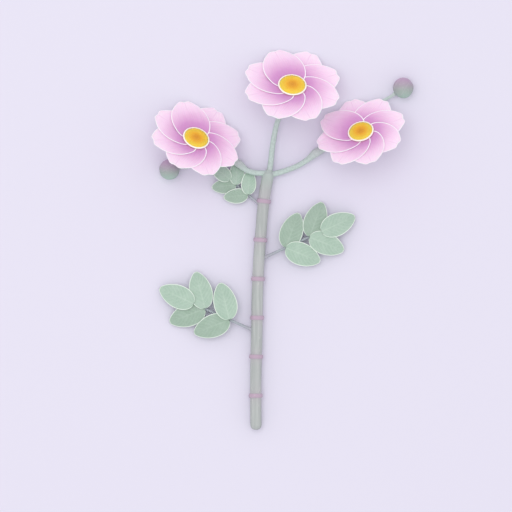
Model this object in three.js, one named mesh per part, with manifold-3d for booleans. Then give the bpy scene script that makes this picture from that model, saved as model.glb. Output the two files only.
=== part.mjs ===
// A cut flowering stem of tree dahlia, laid on a table: a jointed cane, three flower heads on
// curved stalks, two buds and three leaves of five leaflets. Millimetres, +Z up.
// The stem is laid out with its cut end at (0, 0) and its length along +Y, then moved so that
// the finished group's origin is the centre of its footprint, on the table.
import * as THREE from "three";
import { mergeVertices } from "three/addons/utils/BufferGeometryUtils.js";
import Module from "manifold-3d";

const wasm = await Module();
wasm.setup();

// ---------- driving dimensions ----------
const clearance = 0.3; // air left between neighbouring pieces
const degrees = Math.PI / 180;
const up = new THREE.Vector3(0, 0, 1);

const cane = {
  radius: 7.4,
  nodeRadius: 9.1, // the swollen rings
  nodeHalfHeight: 2.6,
  firstNode: 44.5, // from the cut end
  nodePitch: 50.7,
  nodeCount: 6,
  cutFaceRadius: 2.4,
  sides: 12,
};
const restHeight = cane.nodeRadius; // the cane lies on its rings

const flower = {
  petalCount: 8,
  layer: 1.35, // height gained from one petal to the next in the spiral
  petalThickness: 0.7,
  petalRows: 7,
  petalColumns: 6,
  petalCentre: 0.46, // the petal outline is a squarish ellipse: its centre, half length
  petalHalfLength: 0.54, // and half width, as shares of the flower's radius
  petalHalfWidth: 0.41,
  squareness: 2.5, // 2 is a true ellipse
  rise: 2.4, // how far the petal climbs from its base to its tip
  discShare: 0.272, // disc radius as a share of the flower's radius
  tilt: 41.5 * degrees, // between the flower's axis and the vertical
  backLength: 19, // from the petals' plane to the foot of the green cup
};

const leaflet = {
  rows: 8,
  columns: 4,
  thickness: 0.8,
  widthShare: 0.61,
  edgeLift: 0.6, // the blade folds up a little from its midrib
  step: 1.8, // height between leaflets that lie over each other
};

const leafStalkRadius = 1.4;
const flowerStalkRadius = 3.6;
const budStalkRadius = 2.1;
const budRadius = 13.4;

const colours = {
  cane: 0xb7bcba,
  stalk: 0xb3c4bd,
  leafStalk: 0xa9b4b4,
  petal: 0xe9bfe2,
  disc: 0xf2b843,
  involucre: 0xa9bfb1,
  bud: 0xb1abb4,
  lightLeaflet: 0xb3cabb,
  darkLeaflet: 0xa8beb0,
};

// ---------- helpers ----------
const lerp = THREE.MathUtils.lerp;

function material(colour) {
  return new THREE.MeshStandardMaterial({ color: colour, roughness: 0.65, metalness: 0 });
}

// Moves every vertex of a geometry to place(x, y, z).
function reshape(geometry, place) {
  const position = geometry.getAttribute("position");
  for (let i = 0; i < position.count; i++) {
    const moved = place(position.getX(i), position.getY(i), position.getZ(i));
    position.setXYZ(i, moved.x, moved.y, moved.z);
  }
  geometry.computeVertexNormals();
  return geometry;
}

// A thin blade: a one-cell-thick box whose corners go to place(along 0..1, across -1..1, face -1 or 1).
function blade(rows, columns, place) {
  const box = new THREE.BoxGeometry(1, 1, 1, columns, rows, 1);
  return reshape(box, (x, y, z) => place(y + 0.5, 2 * x, Math.sign(z)));
}

// A round rod along a curve. rings lists [share of the length, radius] from end to end.
function rod(curve, rings, sides) {
  const cylinder = new THREE.CylinderGeometry(1, 1, 1, sides, rings.length - 1);
  return reshape(cylinder, (x, y, z) => {
    const [share, radius] = rings[Math.round((y + 0.5) * (rings.length - 1))];
    const along = curve.getTangentAt(share);
    const side = new THREE.Vector3().crossVectors(along, up).normalize();
    const over = new THREE.Vector3().crossVectors(side, along);
    return curve
      .getPointAt(share)
      .addScaledVector(side, x * radius)
      .addScaledVector(over, z * radius);
  });
}

function evenRings(count, radiusAt) {
  return Array.from({ length: count + 1 }, (_, i) => [i / count, radiusAt(i / count)]);
}

function curveThrough(points) {
  return new THREE.CatmullRomCurve3(points.map((p) => new THREE.Vector3(...p)));
}

function solidOf(geometry) {
  const bare = new THREE.BufferGeometry();
  bare.setAttribute("position", geometry.getAttribute("position"));
  bare.setIndex(geometry.index);
  const merged = mergeVertices(bare, 1e-3);
  const mesh = new wasm.Mesh({
    numProp: 3,
    vertProperties: merged.getAttribute("position").array,
    triVerts: new Uint32Array(merged.index.array),
  });
  return new wasm.Manifold(mesh);
}

// What is left of a geometry outside the others.
function cutBy(geometry, ...others) {
  let solid = solidOf(geometry);
  for (const other of others) solid = solid.subtract(solidOf(other));
  const mesh = solid.getMesh();
  const cut = new THREE.BufferGeometry();
  cut.setAttribute("position", new THREE.BufferAttribute(mesh.vertProperties, 3));
  cut.setIndex(new THREE.BufferAttribute(mesh.triVerts, 1));
  cut.computeVertexNormals();
  return cut;
}

function piece(name, geometry, colour) {
  const mesh = new THREE.Mesh(geometry, material(colour));
  mesh.name = name;
  return mesh;
}

// ---------- the cane ----------
const caneLine = curveThrough([
  [0, 0, restHeight],
  [-0.4, 42, restHeight],
  [0, 86, restHeight],
  [1.1, 126, restHeight],
  [1.7, 170, restHeight],
  [3, 208, restHeight],
  [5.6, 247, restHeight],
  [8.5, 282, restHeight],
  [12, 311, restHeight],
  [17.3, 338, restHeight],
]);

// Rings of the cane from the cut end to the fork: rounded ends and swollen nodes.
function caneRings(extra) {
  const length = caneLine.getLength();
  const rings = [];
  const add = (at, radius) => rings.push([at / length, radius + extra]);
  for (const turn of [0.1, 0.4, 0.7, 1]) {
    const shoulder = (turn * Math.PI) / 2;
    const bulge = cane.radius - cane.cutFaceRadius;
    add(cane.radius * (1 - Math.cos(shoulder)), cane.cutFaceRadius + bulge * Math.sin(shoulder));
  }
  for (let i = 0; i < cane.nodeCount; i++) {
    const centre = cane.firstNode + i * cane.nodePitch;
    add(centre - cane.nodeHalfHeight - 1.2, cane.radius);
    add(centre - cane.nodeHalfHeight, cane.nodeRadius - 0.5);
    add(centre, cane.nodeRadius);
    add(centre + cane.nodeHalfHeight, cane.nodeRadius - 0.5);
    add(centre + cane.nodeHalfHeight + 1.2, cane.radius);
    add(centre + cane.nodePitch / 2, cane.radius);
  }
  add(length - 4, cane.radius - 0.3);
  add(length - 1.5, cane.radius - 1.2);
  add(length, cane.radius - 2.8);
  return rings;
}

const caneGeometry = rod(caneLine, caneRings(0), cane.sides);
const caneWithAir = rod(caneLine, caneRings(clearance), cane.sides);

// ---------- a flower head, in its own frame: +Z out of the face ----------
// Half the angle that a petal covers at a distance from the centre.
function petalHalfAngle(share) {
  const { petalCentre, petalHalfLength, petalHalfWidth, squareness } = flower;
  let inside = 0;
  let outside = 100 * degrees;
  for (let i = 0; i < 24; i++) {
    const middle = (inside + outside) / 2;
    const forward = Math.abs(share * Math.cos(middle) - petalCentre) / petalHalfLength;
    const aside = (share * Math.sin(middle)) / petalHalfWidth;
    if (forward ** squareness + aside ** squareness < 1) inside = middle;
    else outside = middle;
  }
  return inside;
}

// Petal 1 lies over both its neighbours; each next one, clockwise, lies under the one after it.
function petalGeometry(radius, number, firstAzimuth) {
  const pitch = (2 * Math.PI) / flower.petalCount;
  const azimuth = firstAzimuth - number * pitch;
  const inner = flower.discShare + 0.9 / radius;
  return blade(flower.petalRows, flower.petalColumns, (along, across, face) => {
    const share = lerp(inner, 0.997, 1 - (1 - along) ** 2);
    const halfAngle = petalHalfAngle(share);
    const turn = -across * halfAngle;
    const reach = (share - inner) / (1 - inner);
    const climb = flower.rise * reach;
    const layers = number === 0 ? halfAngle / pitch + 0.85 : turn / pitch;
    const height = climb + flower.layer * layers + (face * flower.petalThickness) / 2;
    const distance = share * radius;
    return new THREE.Vector3(
      distance * Math.cos(azimuth + turn),
      distance * Math.sin(azimuth + turn),
      height,
    );
  });
}

// A turned solid about the flower's axis; the outline lists [radius, height] upwards.
function turned(outline, sides) {
  const lathe = new THREE.LatheGeometry(outline.map((p) => new THREE.Vector2(...p)), sides);
  return lathe.rotateX(Math.PI / 2);
}

function discGeometry(radius) {
  const r = radius * flower.discShare;
  return turned(
    [
      [0, -3.2],
      [r - 2, -3.2],
      [r - 0.4, 1],
      [r, 3.6],
      [r - 0.9, 5],
      [r * 0.78, 6.2],
      [r * 0.5, 7.2],
      [r * 0.22, 7.6],
      [0, 7.5],
    ],
    20,
  );
}

function involucreGeometry(radius) {
  const r = radius * 0.3;
  return turned(
    [
      [0, -flower.backLength],
      [4.2, -flower.backLength],
      [5.2, -17],
      [8.4, -13.6],
      [r * 0.68, -10],
      [r * 0.9, -7],
      [r, -4.8],
      [r - 0.6, -3.8],
      [0, -3.8],
    ],
    16,
  );
}

const heads = [
  { name: "top_flower", radius: 64, x: 46.9, y: 446.2, turn: -6, firstPetal: 116 },
  { name: "left_flower", radius: 60.8, x: -78.1, y: 377.6, turn: -24.5, firstPetal: 125.5 },
  { name: "right_flower", radius: 58.4, x: 136.2, y: 386.2, turn: 18.5, firstPetal: 133.5 },
];

// Builds a head and lowers it until its lowest petal meets the table.
function flowerHead(head) {
  const group = new THREE.Group();
  group.rotation.set(-flower.tilt, 0, head.turn * degrees, "ZXY");
  for (let n = 0; n < flower.petalCount; n++) {
    const petal = petalGeometry(head.radius, n, head.firstPetal * degrees);
    group.add(piece(`${head.name}_petal_${n + 1}`, petal, colours.petal));
  }
  group.add(piece(`${head.name}_disc`, discGeometry(head.radius), colours.disc));
  group.add(piece(`${head.name}_green_cup`, involucreGeometry(head.radius), colours.involucre));
  group.position.set(head.x, head.y, 0);
  group.updateMatrixWorld(true);
  const lowest = new THREE.Box3().setFromObject(group, true).min.z;
  group.position.z = -lowest;
  group.updateMatrixWorld(true);
  return group;
}

// Where a head's stalk ends, and a point a little before it on the head's axis.
function stalkEnds(group) {
  const onAxis = (depth) => group.localToWorld(new THREE.Vector3(0, 0, -depth)).toArray();
  return [onAxis(flower.backLength + 5), onAxis(flower.backLength + clearance)];
}

// ---------- stalks ----------
// A bump of the given height round a place, for the swelling where a bud's stalk leaves.
function swelling(share, centre, width, height) {
  return height * Math.exp(-(((share - centre) / width) ** 2));
}

const routes = {
  top_flower: [
    [17.6, 335, restHeight],
    [19, 346, restHeight],
    [20.9, 364, 9.3],
    [23.9, 383.5, 9.8],
    [28.2, 401.5, 12],
    [35, 417, 16.5],
  ],
  left_flower: [
    [17, 334, 9.1],
    [9, 334, 10.2],
    [-2, 334.8, 12.2],
    [-12, 338, 12.8],
    [-24, 347.5, 12.8],
    [-43, 356, 12.4],
    [-63, 357.5, 12.8],
    [-77, 357, 15.5],
  ],
  right_flower: [
    [16.5, 331.5, restHeight],
    [25, 333.5, restHeight],
    [38, 337.4, restHeight],
    [53.5, 343.4, restHeight],
    [66, 351, 9.3],
    [82, 363, 9.8],
    [102, 368.5, 10.8],
    [122, 367.5, 13],
    [134, 366.8, 17],
  ],
};
const forks = {
  top_flower: { at: 0, swell: 0 },
  left_flower: { at: 0.37, swell: 1.7 },
  right_flower: { at: 0.49, swell: 2.1 },
};

function flowerStalkRings(name, extra) {
  const { at, swell } = forks[name];
  return evenRings(18, (share) => {
    const body = lerp(flowerStalkRadius, flowerStalkRadius - 0.3, share);
    const collar = swelling(share, 1, 0.06, 0.7);
    return body + collar + swelling(share, at, 0.07, swell) + extra;
  });
}

// ---------- buds ----------
const buds = [
  {
    name: "right_bud",
    centre: [191.5, 445, budRadius],
    parent: "right_flower",
    route: [
      [82, 363, 9.8],
      [96, 378, 8.6],
      [118, 398, 7],
      [143, 415, 6.2],
      [163, 427, 6.6],
    ],
    facing: [0.8, 0.56, 0.22],
  },
  {
    name: "left_bud",
    centre: [-112.5, 338.8, budRadius],
    parent: "left_flower",
    route: [
      [-61, 358, 11],
      [-70, 353, 9],
      [-81, 346.5, 8],
      [-90, 342, 8.5],
    ],
    facing: [-0.95, -0.2, 0.22],
  },
];

// A bud in its own frame: nearly a ball, with a small flat foot for its stalk.
function budGeometry() {
  const outline = [];
  const steps = 10;
  const footAngle = Math.asin((budStalkRadius + 0.3) / budRadius);
  for (let i = 0; i <= steps; i++) {
    const angle = lerp(footAngle, Math.PI, i / steps);
    outline.push([Math.max(0, budRadius * Math.sin(angle)), -budRadius * Math.cos(angle)]);
  }
  outline[steps][0] = 0;
  outline.unshift([0, outline[0][1]]);
  return turned(outline, 18);
}

// ---------- leaves ----------
// heading: direction of the leaf stalk seen from above. reach: where the first pair, the second
// pair and the end leaflet sit along it. upper and lower: turn of the leaflets on each side.
// order: each leaflet's place in the stack, 0 lowest. heights: of the stalk at its start and
// at each reach. upperLight: whether the upper pair shows the leaf's lighter face.
const leaves = [
  {
    name: "lower_left_leaf",
    start: [0.2, 127.7],
    heading: 155.8,
    reach: [38, 73, 88.5],
    length: 50,
    upper: -51.5,
    lower: 45,
    order: [2, 1, 2, 0, 1],
    upperLight: true,
    heights: [9.1, 11.4, 11.6, 9.6],
    droop: [12, 14],
  },
  {
    name: "right_leaf",
    start: [5.6, 222],
    heading: 24.4,
    reach: [36, 70, 87],
    length: 49,
    upper: 45,
    lower: -46,
    order: [0, 1, 3, 2, 1],
    upperLight: false,
    heights: [9.1, 11.6, 12, 10.2],
    droop: [13, 13],
  },
  {
    name: "upper_left_leaf",
    start: [9.5, 289.5],
    heading: 140.3,
    reach: [25.8, 46, 56],
    length: 32.5,
    upper: -54,
    lower: 46,
    order: [2, 1, 2, 0, 1],
    upperLight: true,
    heights: [9.1, 5, 4.2, 3.8],
    droop: [16, 11],
  },
];

// Half width of a leaflet along its length, as a share of its greatest half width.
function leafletOutline(share) {
  const peak = 0.47;
  const shape = (s) => s ** 0.5 * (1 - s) ** 0.56;
  return shape(share) / shape(peak);
}

// Height of a leaf's stalk at a distance along it, going on down past its end.
function leafStalkHeight(leaf, distance) {
  const stops = [0, ...leaf.reach];
  const last = stops.length - 1;
  if (distance >= stops[last]) {
    const beyond = (distance - stops[last]) / leaf.length;
    const slope = leaf.heights[last] - leaf.heights[last - 1];
    return leaf.heights[last] + slope * beyond - 0.16 * leaf.length * beyond * beyond;
  }
  const i = Math.max(1, stops.findIndex((stop) => stop > distance));
  const share = (distance - stops[i - 1]) / (stops[i] - stops[i - 1]);
  const smooth = share * share * (3 - 2 * share);
  return lerp(leaf.heights[i - 1], leaf.heights[i], smooth);
}

function leafStalkCurve(leaf) {
  const heading = leaf.heading * degrees;
  const end = leaf.reach[2] - 2;
  const points = [];
  for (let i = 0; i <= 6; i++) {
    const distance = (end * i) / 6;
    points.push([
      leaf.start[0] + distance * Math.cos(heading),
      leaf.start[1] + distance * Math.sin(heading),
      leafStalkHeight(leaf, distance),
    ]);
  }
  return curveThrough(points);
}

function leafletGeometry(leaf, reach, turn, order) {
  const heading = leaf.heading * degrees;
  const direction = (leaf.heading + turn) * degrees;
  const halfWidth = (leaf.length * leaflet.widthShare) / 2;
  const [upperDroop, lowerDroop] = leaf.droop;
  return blade(leaflet.rows, leaflet.columns, (along, across, face) => {
    const share = lerp(0.012, 0.99, along);
    const forward = share * leaf.length;
    const aside = across * halfWidth * leafletOutline(share);
    const dx = reach * Math.cos(heading) + forward * Math.cos(direction) + aside * Math.sin(direction);
    const dy = reach * Math.sin(heading) + forward * Math.sin(direction) - aside * Math.cos(direction);
    const distance = dx * Math.cos(heading) + dy * Math.sin(heading);
    const offset = dy * Math.cos(heading) - dx * Math.sin(heading);
    const upwards = offset * Math.cos(heading) > 0;
    const droop = (upwards ? upperDroop : lowerDroop) * (offset / 50) ** 2;
    const base = leafStalkHeight(leaf, distance) + leafStalkRadius + clearance + leaflet.thickness / 2;
    const fold = leaflet.edgeLift * across * across;
    const height = base + 0.2 + order * leaflet.step - droop + fold;
    return new THREE.Vector3(
      leaf.start[0] + dx,
      leaf.start[1] + dy,
      height + (face * leaflet.thickness) / 2,
    );
  });
}

function addLeaf(group, leaf) {
  const stalkRings = (extra) => evenRings(12, (share) => leafStalkRadius * lerp(1.25, 0.85, share) + extra);
  const stalk = cutBy(rod(leafStalkCurve(leaf), stalkRings(0), 8), caneWithAir);
  group.add(piece(`${leaf.name}_stalk`, stalk, colours.leafStalk));
  const [first, second, end] = leaf.reach;
  const places = [
    [first, leaf.upper],
    [second, leaf.upper],
    [end, 0],
    [second, leaf.lower],
    [first, leaf.lower],
  ];
  places.forEach(([reach, turn], i) => {
    const order = leaf.order[i];
    const light = i === 2 || i < 2 === leaf.upperLight;
    const colour = light ? colours.lightLeaflet : colours.darkLeaflet;
    const geometry = leafletGeometry(leaf, reach, turn, order);
    group.add(piece(`${leaf.name}_leaflet_${i + 1}`, geometry, colour));
  });
}

// ---------- the whole stem ----------
const stem = new THREE.Group();
stem.add(piece("cane", caneGeometry, colours.cane));

const stalks = {};
for (const head of heads) {
  const group = flowerHead(head);
  stem.add(group);
  const line = curveThrough([...routes[head.name], ...stalkEnds(group)]);
  const cutters = [caneWithAir, ...Object.values(stalks).map((stalk) => stalk.withAir)];
  const plain = rod(line, flowerStalkRings(head.name, 0), 8);
  stalks[head.name] = {
    withAir: rod(line, flowerStalkRings(head.name, clearance), 8),
  };
  stem.add(piece(`${head.name}_stalk`, cutBy(plain, ...cutters), colours.stalk));
}

for (const bud of buds) {
  const facing = new THREE.Vector3(...bud.facing).normalize();
  const ball = piece(bud.name, budGeometry(), colours.bud);
  ball.position.set(...bud.centre);
  ball.quaternion.setFromUnitVectors(up, facing);
  stem.add(ball);
  const onAxis = (depth) => ball.position.clone().addScaledVector(facing, -depth).toArray();
  const line = curveThrough([...bud.route, onAxis(budRadius + 4), onAxis(budRadius + clearance)]);
  const plain = rod(line, evenRings(12, () => budStalkRadius), 8);
  const cut = cutBy(plain, stalks[bud.parent].withAir);
  stem.add(piece(`${bud.name}_stalk`, cut, colours.stalk));
}

for (const leaf of leaves) addLeaf(stem, leaf);

const box = new THREE.Box3().setFromObject(stem, true);
const centre = box.getCenter(new THREE.Vector3());
stem.position.set(-centre.x, -centre.y, -box.min.z);

const part = new THREE.Group();
part.add(stem);
export default part;
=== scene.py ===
# Tree dahlia: a cut stem lying on a table, its flowers facing up.
import math
import random

import bpy
from mathutils import Euler, Matrix, Vector


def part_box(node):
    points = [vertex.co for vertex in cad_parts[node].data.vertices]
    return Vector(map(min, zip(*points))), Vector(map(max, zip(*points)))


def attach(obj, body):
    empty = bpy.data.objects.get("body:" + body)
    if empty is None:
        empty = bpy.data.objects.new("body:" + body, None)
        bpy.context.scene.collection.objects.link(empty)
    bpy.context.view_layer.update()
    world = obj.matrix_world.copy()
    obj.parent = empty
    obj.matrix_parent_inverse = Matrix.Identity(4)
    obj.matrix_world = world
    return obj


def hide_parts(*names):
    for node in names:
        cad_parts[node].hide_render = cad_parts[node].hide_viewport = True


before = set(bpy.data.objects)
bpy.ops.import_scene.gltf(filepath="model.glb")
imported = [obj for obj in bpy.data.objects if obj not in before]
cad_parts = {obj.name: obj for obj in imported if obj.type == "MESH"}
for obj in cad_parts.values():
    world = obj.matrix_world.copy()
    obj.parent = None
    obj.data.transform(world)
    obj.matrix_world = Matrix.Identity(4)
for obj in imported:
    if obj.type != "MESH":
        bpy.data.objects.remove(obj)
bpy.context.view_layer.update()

mm = 0.001

# everything is laid out from the cut end of the cane, then moved to where the frame has it
stemPlace = Vector((-34.8957, -248.0327, 0.0)) * mm
print("frame loaded:", len(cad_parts), "nodes")


# small helpers
def tone(red, green, blue):
    # a screen colour, 0 to 255, as the linear colour that Blender's sockets take
    def straighten(value):
        value /= 255
        return value / 12.92 if value <= 0.04045 else ((value + 0.055) / 1.055) ** 2.4
    return (straighten(red), straighten(green), straighten(blue), 1.0)


def smooth(low, high, value):
    t = min(1.0, max(0.0, (value - low) / (high - low)))
    return t * t * (3 - 2 * t)


def between(a, b, t):
    return a + (b - a) * t


def buildMesh(name, points, faces, marks=None, smoothShading=True):
    # marks: {name: one number per point}, read by the materials as attributes
    mesh = bpy.data.meshes.new(name)
    mesh.from_pydata([tuple(p) for p in points], [], faces)
    for markName, values in (marks or {}).items():
        layer = mesh.attributes.new(markName, "FLOAT", "POINT")
        layer.data.foreach_set("value", values)
    mesh.polygons.foreach_set("use_smooth", [smoothShading] * len(mesh.polygons))
    mesh.update()
    obj = bpy.data.objects.new(name, mesh)
    bpy.context.scene.collection.objects.link(obj)
    return obj


def finishPiece(obj, material, slotName, *nodes):
    obj.data.materials.append(material)
    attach(obj, "root")
    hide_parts(*nodes)
    return obj


def joinParts(parts):
    # several lists of points, faces and marks as one
    points, faces, marks = [], [], {}
    for partPoints, partFaces, partMarks in parts:
        offset = len(points)
        for key in sorted(set(marks) | set(partMarks)):
            marks.setdefault(key, [0.0] * offset)
            marks[key] += list(partMarks.get(key, [0.0] * len(partPoints)))
        points += partPoints
        faces += [tuple(i + offset for i in face) for face in partFaces]
    return points, faces, marks


def bladeShell(rows, columns, pointAt):
    # a closed thin blade; pointAt(along, across, face) gives (point, marks); both faces share the rim
    points, marks, index = [], {}, {}
    for face in (1, -1):
        for i in range(rows + 1):
            for j in range(columns + 1):
                onRim = i in (0, rows) or j in (0, columns)
                if onRim and face == -1:
                    index[face, i, j] = index[1, i, j]
                    continue
                along = i / rows
                across = -math.cos(math.pi * j / columns)
                point, pointMarks = pointAt(along, across, 0 if onRim else face)
                index[face, i, j] = len(points)
                points.append(point)
                for key, value in pointMarks.items():
                    marks.setdefault(key, []).append(value)
    faces = []
    for i in range(rows):
        for j in range(columns):
            for face in (1, -1):
                a, b = index[face, i, j], index[face, i, j + 1]
                c, d = index[face, i + 1, j + 1], index[face, i + 1, j]
                faces.append((a, b, c, d) if face == 1 else (d, c, b, a))
    return points, faces, marks


def smoothLine(stops, steps):
    # an even run of points on a smooth curve through the stops (centripetal Catmull-Rom)
    stops = [Vector(p) for p in stops]
    first, last = 2 * stops[0] - stops[1], 2 * stops[-1] - stops[-2]
    padded = [first] + stops + [last]
    dense = []
    for i in range(1, len(padded) - 2):
        p0, p1, p2, p3 = padded[i - 1:i + 3]
        gap0 = max(1e-4, (p1 - p0).length ** 0.5)
        gap1 = max(1e-4, (p2 - p1).length ** 0.5)
        gap2 = max(1e-4, (p3 - p2).length ** 0.5)
        lead = ((p1 - p0) / gap0 - (p2 - p0) / (gap0 + gap1) + (p2 - p1) / gap1) * gap1
        leave = ((p2 - p1) / gap1 - (p3 - p1) / (gap1 + gap2) + (p3 - p2) / gap2) * gap1
        for k in range(24):
            t = k / 24
            c2 = -3 * p1 + 3 * p2 - 2 * lead - leave
            c3 = 2 * p1 - 2 * p2 + lead + leave
            dense.append(p1 + lead * t + c2 * t * t + c3 * t * t * t)
    dense.append(stops[-1])
    lengths = [0.0]
    for a, b in zip(dense, dense[1:]):
        lengths.append(lengths[-1] + (b - a).length)
    line, k = [], 0
    for i in range(steps + 1):
        goal = lengths[-1] * i / steps
        while k < len(dense) - 2 and lengths[k + 1] < goal:
            k += 1
        span = lengths[k + 1] - lengths[k]
        t = (goal - lengths[k]) / span if span else 0.0
        line.append(dense[k].lerp(dense[k + 1], t))
    return line, lengths[-1]


def rodShell(line, length, radiusAt, sides, marksAt=None):
    # a closed round rod; radiusAt(distance, turn) in mm, turn 0 on top
    points, faces, marks = [], [], {}
    steps = len(line) - 1
    for i, centre in enumerate(line):
        along = (line[min(i + 1, steps)] - line[max(i - 1, 0)]).normalized()
        side = along.cross(Vector((0, 0, 1))).normalized()
        over = side.cross(along)
        distance = length * i / steps
        for j in range(sides):
            turn = 2 * math.pi * j / sides
            radius = radiusAt(distance, turn)
            points.append(centre + (over * math.cos(turn) + side * math.sin(turn)) * radius)
            extra = marksAt(distance, turn) if marksAt else {}
            extra["turn"] = turn
            for key, value in extra.items():
                marks.setdefault(key, []).append(value)
    for i in range(steps):
        for j in range(sides):
            a, b = i * sides + j, i * sides + (j + 1) % sides
            faces.append((a, b, b + sides, a + sides))
    faces.append(tuple(range(sides - 1, -1, -1)))
    faces.append(tuple(range(steps * sides, (steps + 1) * sides)))
    return points, faces, marks


def toFrame(points):
    return [stemPlace + Vector(p) * mm for p in points]


# helpers for the materials
def newMaterial(name, roughness):
    material = bpy.data.materials.new(name)
    material.use_nodes = True
    nodes = material.node_tree.nodes
    shader = nodes["Principled BSDF"]
    shader.inputs["Roughness"].default_value = roughness
    return material, material.node_tree, shader


def addNode(tree, kind, **settings):
    node = tree.nodes.new(kind)
    for key, value in settings.items():
        setattr(node, key, value)
    return node


def feed(tree, socket, value):
    # a socket takes a number, a colour or another node's output
    if isinstance(value, bpy.types.NodeSocket):
        tree.links.new(value, socket)
    else:
        socket.default_value = value


def mark(tree, name):
    return addNode(tree, "ShaderNodeAttribute", attribute_name=name).outputs["Fac"]


def calc(tree, operation, a, b=0.0, c=0.0):
    node = addNode(tree, "ShaderNodeMath", operation=operation)
    for socket, value in zip(node.inputs, (a, b, c)):
        feed(tree, socket, value)
    return node.outputs[0]


def fade(tree, value, low, high, start=0.0, end=1.0):
    node = addNode(tree, "ShaderNodeMapRange", interpolation_type="SMOOTHSTEP")
    for socket, item in zip(node.inputs, (value, low, high, start, end)):
        feed(tree, socket, item)
    return node.outputs[0]


def blendTones(tree, factor, first, second):
    node = addNode(tree, "ShaderNodeMix", data_type="RGBA")
    feed(tree, node.inputs[0], factor)
    feed(tree, node.inputs[6], first)
    feed(tree, node.inputs[7], second)
    return node.outputs[2]


def toneRun(tree, factor, stops):
    # a colour ramp; stops lists (place, colour)
    node = addNode(tree, "ShaderNodeValToRGB")
    ramp = node.color_ramp
    while len(ramp.elements) < len(stops):
        ramp.elements.new(0.5)
    for element, (place, colour) in zip(ramp.elements, stops):
        element.position, element.color = place, colour
    feed(tree, node.inputs[0], factor)
    return node.outputs[0]


def cloudy(tree, scale, detail=3.0, stretch=None):
    node = addNode(tree, "ShaderNodeTexNoise")
    node.inputs["Scale"].default_value = scale
    node.inputs["Detail"].default_value = detail
    place = addNode(tree, "ShaderNodeTexCoord").outputs["Object"]
    if stretch:
        mapping = addNode(tree, "ShaderNodeMapping")
        mapping.inputs["Scale"].default_value = stretch
        tree.links.new(place, mapping.inputs["Vector"])
        place = mapping.outputs[0]
    tree.links.new(place, node.inputs["Vector"])
    return node.outputs["Fac"]


def roughen(tree, shader, height, strength, depth):
    node = addNode(tree, "ShaderNodeBump")
    node.inputs["Strength"].default_value = strength
    node.inputs["Distance"].default_value = depth
    feed(tree, node.inputs["Height"], height)
    tree.links.new(node.outputs[0], shader.inputs["Normal"])


# flower heads, laid out about their own middle with the face turned up
flowerShape = {
    "petalCount": 8,
    "layer": 1.35,           # mm from one petal to the next in the spiral
    "thickness": 0.7,
    # half the angle in degrees that a petal covers, at shares of the flower's radius
    "outline": [(0.2, 82), (0.31, 74), (0.44, 60.5), (0.57, 48), (0.7, 36.5), (0.79, 28.5), (0.86, 21.5),
                (0.93, 14.5), (0.98, 9), (1.0, 6)],
    "rise": 2.4,             # how far a petal climbs from its base to its tip
    "discShare": 0.272,
    "tilt": math.radians(41.5),
    "backLength": 19.0,
}

heads = [
    {"name": "top_flower", "radius": 64.0, "turn": -6.0, "firstPetal": 116.0, "seed": 3},
    {"name": "left_flower", "radius": 60.8, "turn": -24.5, "firstPetal": 125.5, "seed": 8},
    {"name": "right_flower", "radius": 58.4, "turn": 18.5, "firstPetal": 133.5, "seed": 14},
]


def discOutline(radius):
    r = radius * flowerShape["discShare"]
    return [(r - 2, -3.2), (r - 0.4, 1), (r, 3.6), (r - 0.9, 5), (r * 0.78, 6.2), (r * 0.5, 7.2),
            (r * 0.22, 7.6), (0, 7.5)]


def placeHead(head):
    # where the frame has this head: its disc, turned but not yet moved, is matched to its node's box
    turn = Euler((-flowerShape["tilt"], 0, 0)).to_matrix()
    spin = Matrix.Rotation(math.radians(head["turn"]), 3, "Z") @ turn
    corners = []
    for radius, height in discOutline(head["radius"]):
        for k in range(20):
            angle = 2 * math.pi * k / 20
            corners.append(spin @ Vector((radius * math.sin(angle), -radius * math.cos(angle), height)))
    lowest = Vector([min(c[axis] for c in corners) for axis in range(3)]) * mm
    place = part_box(head["name"] + "_disc")[0] - lowest
    return Matrix.Translation(place) @ (spin.to_4x4() @ Matrix.Scale(mm, 4))


def petalHalfAngle(share):
    stops = flowerShape["outline"]
    past = next((i for i, stop in enumerate(stops) if stop[0] > share), len(stops))
    k = max(1, min(len(stops) - 2, past - 1))
    # a parabola through three neighbouring stops keeps the edge smooth
    (x0, y0), (x1, y1), (x2, y2) = stops[k - 1:k + 2]
    total = y0 * (share - x1) * (share - x2) / ((x0 - x1) * (x0 - x2))
    total += y1 * (share - x0) * (share - x2) / ((x1 - x0) * (x1 - x2))
    total += y2 * (share - x0) * (share - x1) / ((x2 - x0) * (x2 - x1))
    return math.radians(total)


petalLook = {
    "rows": 44,
    "columns": 40,
    "furrows": 7,          # shallow folds that run from the base to the tip
    "furrowDepth": 0.16,
    "rim": 0.08,           # how far the thick pale rim stands up
    "tipTeeth": 0.022,     # depth of the notches at the tip, as a share of the radius
    "snug": 0.32,          # how closely the petals lie together round the disc
    "wave": 0.55,          # gentle unevenness of the blade
}


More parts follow.
